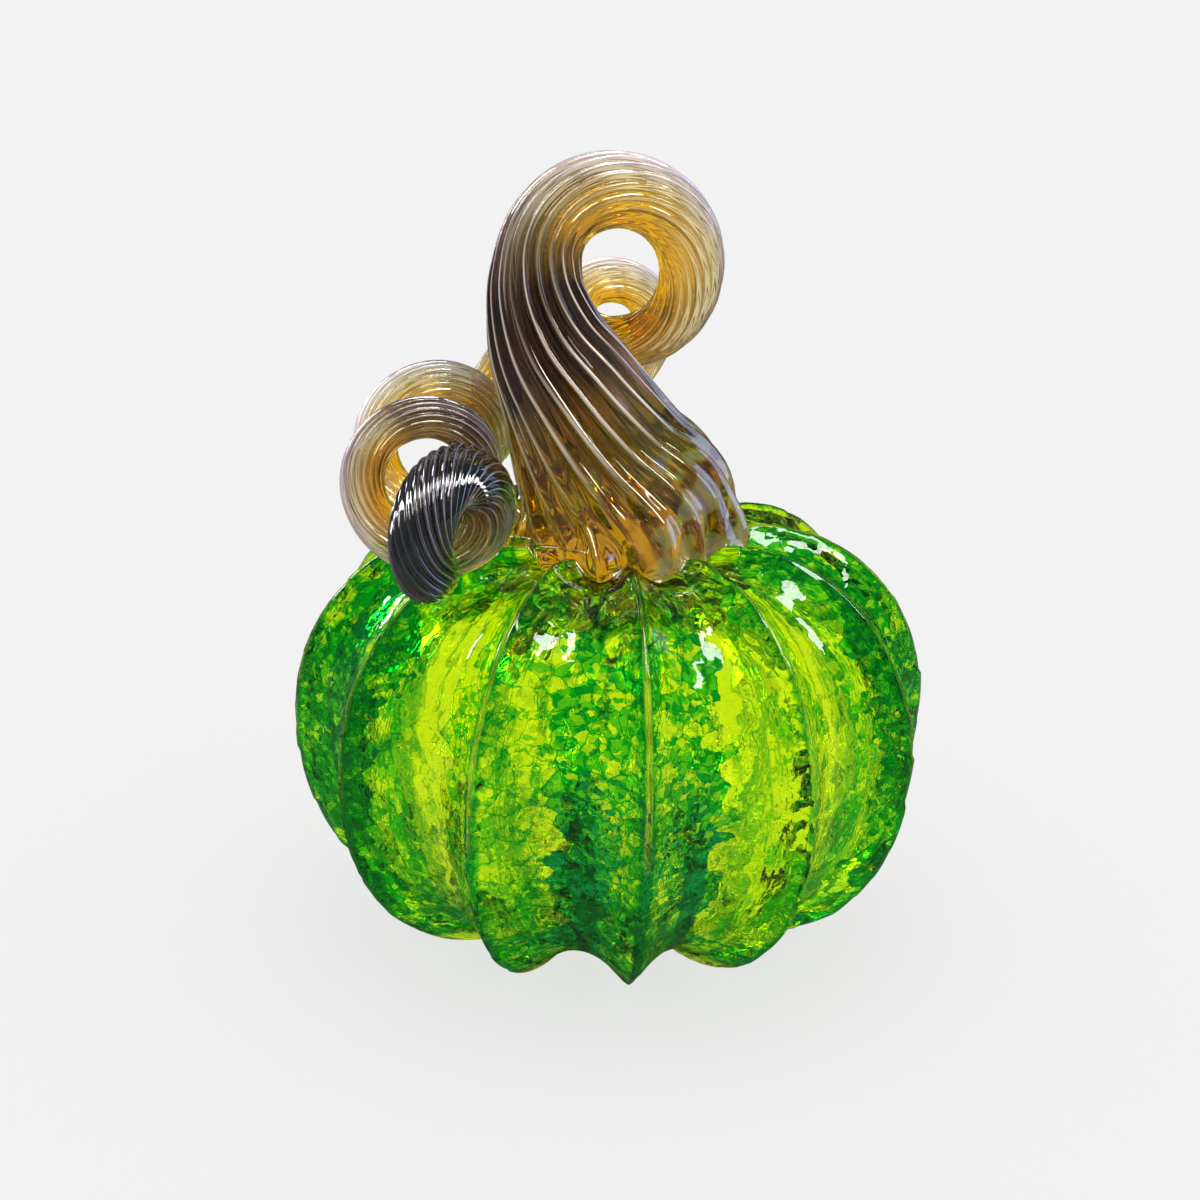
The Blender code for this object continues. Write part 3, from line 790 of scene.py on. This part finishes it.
def closed_rod():
    """Rings of the rod with a closed foot and a round tip: length, centre, radius, way ahead and bend."""
    along, centre, radius = stem_route()
    ahead = np.gradient(centre, axis=0)
    ahead /= np.linalg.norm(ahead, axis=1, keepdims=True)
    bend = np.gradient(ahead, axis=0) / np.gradient(along)[:, None]
    bend = np.stack([settled(bend[:, k], BEND_REACH) for k in range(3)], axis=-1)
    sharpness = np.linalg.norm(bend, axis=1, keepdims=True)
    bend = bend / np.maximum(sharpness, TINY) * np.clip((sharpness * MM - BEND_FROM) / BEND_FADE, 0.0, 1.0)
    cap = np.linspace(0.0, 1.0, CAP_RINGS, endpoint=False)
    tip = np.linspace(0.0, math.pi / 2, TIP_RINGS + 2)[1:-1]
    end = centre[-1] + np.outer(np.sin(tip), ahead[-1]) * radius[-1]
    reach = np.concatenate((np.zeros(CAP_RINGS), along, along[-1] + np.sin(tip) * radius[-1]))
    centre = np.concatenate((np.repeat(centre[:1], CAP_RINGS, axis=0), centre, end))
    cap = radius[0] * (CAP_LEAST + (1 - CAP_LEAST) * cap)
    radius = np.concatenate((cap, radius, radius[-1] * np.cos(tip)))
    added = ((CAP_RINGS, TIP_RINGS), (0, 0))
    return reach, centre, radius, np.pad(ahead, added, mode="edge"), np.pad(bend, added, mode="edge")


def carried_sides(ahead):
    """A way to the side of each ring, carried along the rod without turning round it."""
    side = np.array((1.0, 0.0, 0.0))
    sides = np.zeros_like(ahead)
    for i, way in enumerate(ahead):
        side = side - way * side.dot(way)
        side /= np.linalg.norm(side)
        sides[i] = side
    return sides


def seated(points, reach, valley_depth, gap):
    """Points of the stem with the lobes of its foot, laid on the ridged top of the body."""
    foot = np.array(STALK[0][:2]) * MM
    away = points[..., :2] - foot
    over = (points[..., 2] - CREST_HEIGHT) / LOBE_HEIGHT
    near = (over < 1.0) & (np.hypot(away[..., 0], away[..., 1]) < FOOT_REACH)
    near &= reach[:, None] < FOOT_LENGTH
    fade = np.where(near, np.minimum(1.0 - over, 1.0), 0.0)
    round_foot = np.arctan2(away[..., 1], away[..., 0])
    swell = sum(share * np.cos(count * round_foot + phase) for count, share, phase in FOOT_LOBES)
    flat = foot + away * (1.0 + fade * swell)[..., None]
    far = np.hypot(flat[..., 0], flat[..., 1])
    turn = np.arctan2(flat[..., 0], -flat[..., 1]) - RIDGE_TURN
    turn = turn + RIDGE_SQUEEZE * np.sin(turn)
    share = np.clip((far - NECK_RADIUS) / (CREST_TOP_RADIUS - NECK_RADIUS), 0.0, 1.0)
    seat = CREST_HEIGHT - NECK_DIP + NECK_DIP * np.sin(share * math.pi / 2)
    seat = seat - sink_at(far, turn, valley_depth, SKIN_ROUNDING) + gap
    height = np.where(near, np.maximum(points[..., 2], seat), points[..., 2])
    return np.concatenate((flat, height[..., None]), axis=-1)


def drawn_streaks(share, columns):
    """Tones along each column of the rod, running between tones that are drawn at random."""
    tones = np.random.default_rng(SEED).random((STREAK_ROWS, columns))
    rows = np.arange(STREAK_ROWS)
    return np.stack([np.interp(share * rows[-1], rows, column) for column in tones.T], axis=-1)


class PUMPKIN_OT_draw_stem(bpy.types.Operator):
    """Draw the ribbed stem up from its foot and wind its loops"""
    bl_idname = "pumpkin.draw_stem"
    bl_label = "Draw stem"

    def execute(self, context):
        settings = context.scene.pumpkin_stem
        reach, centre, radius, ahead, bend = closed_rod()
        share = reach / reach[-1]
        sides = carried_sides(ahead)
        overs = np.cross(ahead, sides)
        twist = np.array([between_knots(np.array(TWIST), at)[0] for at in share])
        twist = FULL_TURN * np.concatenate(([0.0], np.cumsum(np.diff(reach) * twist[1:])))
        columns = settings.rib_count * COLUMNS_PER_RIB
        angle = np.linspace(0.0, FULL_TURN, columns, endpoint=False)
        groove = settings.rib_depth * (0.5 - 0.5 * np.cos(settings.rib_count * angle))
        spread = radius[:, None] * (1.0 - groove[None, :] * np.interp(reach, RIB_RISE, RIB_SHARES)[:, None])
        turned = angle[None, :] + twist[:, None]
        points = (centre[:, None, :] + (spread * np.cos(turned))[..., None] * sides[:, None, :]
                  + (spread * np.sin(turned))[..., None] * overs[:, None, :])
        inner = (np.cos(turned) * (bend * sides).sum(axis=1)[:, None]
                 + np.sin(turned) * (bend * overs).sum(axis=1)[:, None])
        points = seated(points, reach, context.scene.pumpkin_body.valley_depth, settings.seat_gap)
        poles = (points[0].mean(axis=0), centre[-1] + ahead[-1] * TIP_POLE)
        faces = [face[::-1] for face in closed_grid(len(centre), columns)]
        shares = {
            "streak": drawn_streaks(share, columns),
            "rib": np.tile(0.5 + 0.5 * np.cos(settings.rib_count * angle), (len(centre), 1)),
            "gather": np.repeat(np.interp(share, *np.array(GATHER).T)[:, None], columns, axis=1),
            "inner": inner,
            "along": np.repeat(share[:, None], columns, axis=1),
        }
        for name, rings in shares.items():
            shares[name] = np.append(rings, (rings[0].mean(), rings[-1].mean()))
        points = np.concatenate((points.reshape(-1, 3), poles))
        piece = new_piece("amber_stem", points, faces, shares, amber_glass(settings))
        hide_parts("stem")
        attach(piece, "root")
        return {"FINISHED"}


def lay_floor(pale):
    """White paper sweep: matt and even to the eye, with a pale shadow under the glass."""
    mesh = bpy.data.meshes.new("floor")
    corners = [(-FLOOR_HALF, -FLOOR_HALF, 0), (FLOOR_HALF, -FLOOR_HALF, 0), (FLOOR_HALF, FLOOR_HALF, 0),
               (-FLOOR_HALF, FLOOR_HALF, 0)]
    mesh.from_pydata(corners, [], [(0, 1, 2, 3)])
    floor = bpy.data.objects.new("floor", mesh)
    bpy.context.scene.collection.objects.link(floor)
    floor.location.z = -FLOOR_DROP
    material, add = new_material("white_paper_sweep")
    paper = add("BsdfDiffuse", pale)
    path = add("LightPath").outputs
    shown = add("Math", path["Is Camera Ray"], path["Is Transmission Ray"], operation="MAXIMUM")
    glow = add("Emission", pale, shown)
    add("OutputMaterial", add("MixShader", FLOOR_GLOW, paper, glow))
    mesh.materials.append(material)


def light_room(pale):
    """White room: even light on matt things, pale paper behind the glass, and a dark room that it mirrors."""
    world = bpy.data.worlds.new("white_studio")
    bpy.context.scene.world = world
    world.use_nodes = True
    world.node_tree.nodes.clear()
    add = functools.partial(add_node, world.node_tree)
    axes = add("SeparateXYZ", add("TexCoord").outputs["Generated"]).outputs
    limits = (("Y", *PAPER_BEHIND), ("Z", *PAPER_TOP), ("Z", *DIM_FROM_FLOOR))
    behind, low, rise = (add("MapRange", axes[axis], start, end, interpolation_type="SMOOTHSTEP")
                         for axis, start, end in limits)
    paper = add("Math", behind, low, operation="MULTIPLY")
    dim = add("Math", 1.0, paper, operation="SUBTRACT")
    dim = add("Math", dim, rise, operation="MULTIPLY")
    white = add("Math", 1.0, dim, operation="SUBTRACT")
    room = add("Mix", white, hex_colour("#C4CCCC"), WHITE, data_type="RGBA")
    path = add("LightPath").outputs
    room = add("Mix", path["Is Transmission Ray"], hex_colour("#505A64"), room, data_type="RGBA")
    room = add("Mix", path["Diffuse Depth"], room, WHITE, data_type="RGBA")
    room = add("Mix", path["Is Camera Ray"], room, pale, data_type="RGBA")
    light = add("Background", room, 1.0)
    add("OutputWorld", light)
    world.cycles.sampling_method = "NONE"


def hang_lamps():
    """Soft lamps that light the glass and leave the paper alone."""
    scene = bpy.context.scene
    groups = {}
    for group, names in LIT_PIECES.items():
        groups[group] = bpy.data.collections.new(group)
        for name in names:
            groups[group].objects.link(bpy.data.objects[name])
    for name, (place, size, power, colour, group) in LAMPS.items():
        data = bpy.data.lights.new(name, "AREA")
        data.shape = "RECTANGLE"
        data.size, data.size_y = size
        data.energy = power
        data.color = hex_colour(colour)[:3]
        lamp = bpy.data.objects.new(name, data)
        scene.collection.objects.link(lamp)
        lamp.location = place
        lamp.rotation_euler = (Vector(LAMPS_AIM) - Vector(place)).to_track_quat("-Z", "Y").to_euler()
        lamp.light_linking.receiver_collection = groups[group]


def set_camera(lens):
    """Camera where the photograph was taken from."""
    data = bpy.data.cameras.new("camera")
    data.sensor_width = CAMERA_SENSOR
    data.lens = lens
    data.clip_start, data.clip_end = CAMERA_CLIP
    camera = bpy.data.objects.new("camera", data)
    bpy.context.scene.collection.objects.link(camera)
    look = Matrix.Translation(Vector(CAMERA_PLACE) * MM)
    look @= Matrix.Rotation(math.radians(90.0 - CAMERA_DOWN), 4, "X")
    look @= Matrix.Rotation(math.radians(CAMERA_ROLL), 4, "Z")
    camera.matrix_world = look
    bpy.context.scene.camera = camera


class PUMPKIN_OT_set_stage(bpy.types.Operator):
    """Set the floor, the lights, the world and the camera"""
    bl_idname = "pumpkin.set_stage"
    bl_label = "Set stage"

    def execute(self, context):
        settings = context.scene.pumpkin_stage
        pale = tuple(settings.backdrop)
        lay_floor(pale)
        light_room(pale)
        hang_lamps()
        set_camera(settings.lens)
        context.scene.view_settings.view_transform = "Standard"
        return {"FINISHED"}


SETTINGS = (
    ("pumpkin_body", PumpkinBodySettings, PUMPKIN_OT_blow_body),
    ("pumpkin_stem", PumpkinStemSettings, PUMPKIN_OT_draw_stem),
    ("pumpkin_stage", PumpkinStageSettings, PUMPKIN_OT_set_stage),
)


class PUMPKIN_PT_panel(bpy.types.Panel):
    """Sidebar panel of the pumpkin"""
    bl_idname = "PUMPKIN_PT_panel"
    bl_label = "Glass pumpkin"
    bl_space_type = "VIEW_3D"
    bl_region_type = "UI"
    bl_category = "Pumpkin"

    def draw(self, context):
        for name, group, operator in SETTINGS:
            box = self.layout.box()
            for setting in group.__annotations__:
                box.prop(getattr(context.scene, name), setting)
            box.operator(operator.bl_idname)


def register():
    for name, group, operator in SETTINGS:
        bpy.utils.register_class(group)
        bpy.utils.register_class(operator)
        setattr(bpy.types.Scene, name, bpy.props.PointerProperty(type=group))
    bpy.utils.register_class(PUMPKIN_PT_panel)


def unregister():
    bpy.utils.unregister_class(PUMPKIN_PT_panel)
    for name, group, operator in reversed(SETTINGS):
        delattr(bpy.types.Scene, name)
        bpy.utils.unregister_class(operator)
        bpy.utils.unregister_class(group)


def main():
    register()
    bpy.ops.pumpkin.blow_body()
    bpy.ops.pumpkin.draw_stem()
    bpy.ops.pumpkin.set_stage()


if __name__ == "__main__":
    main()
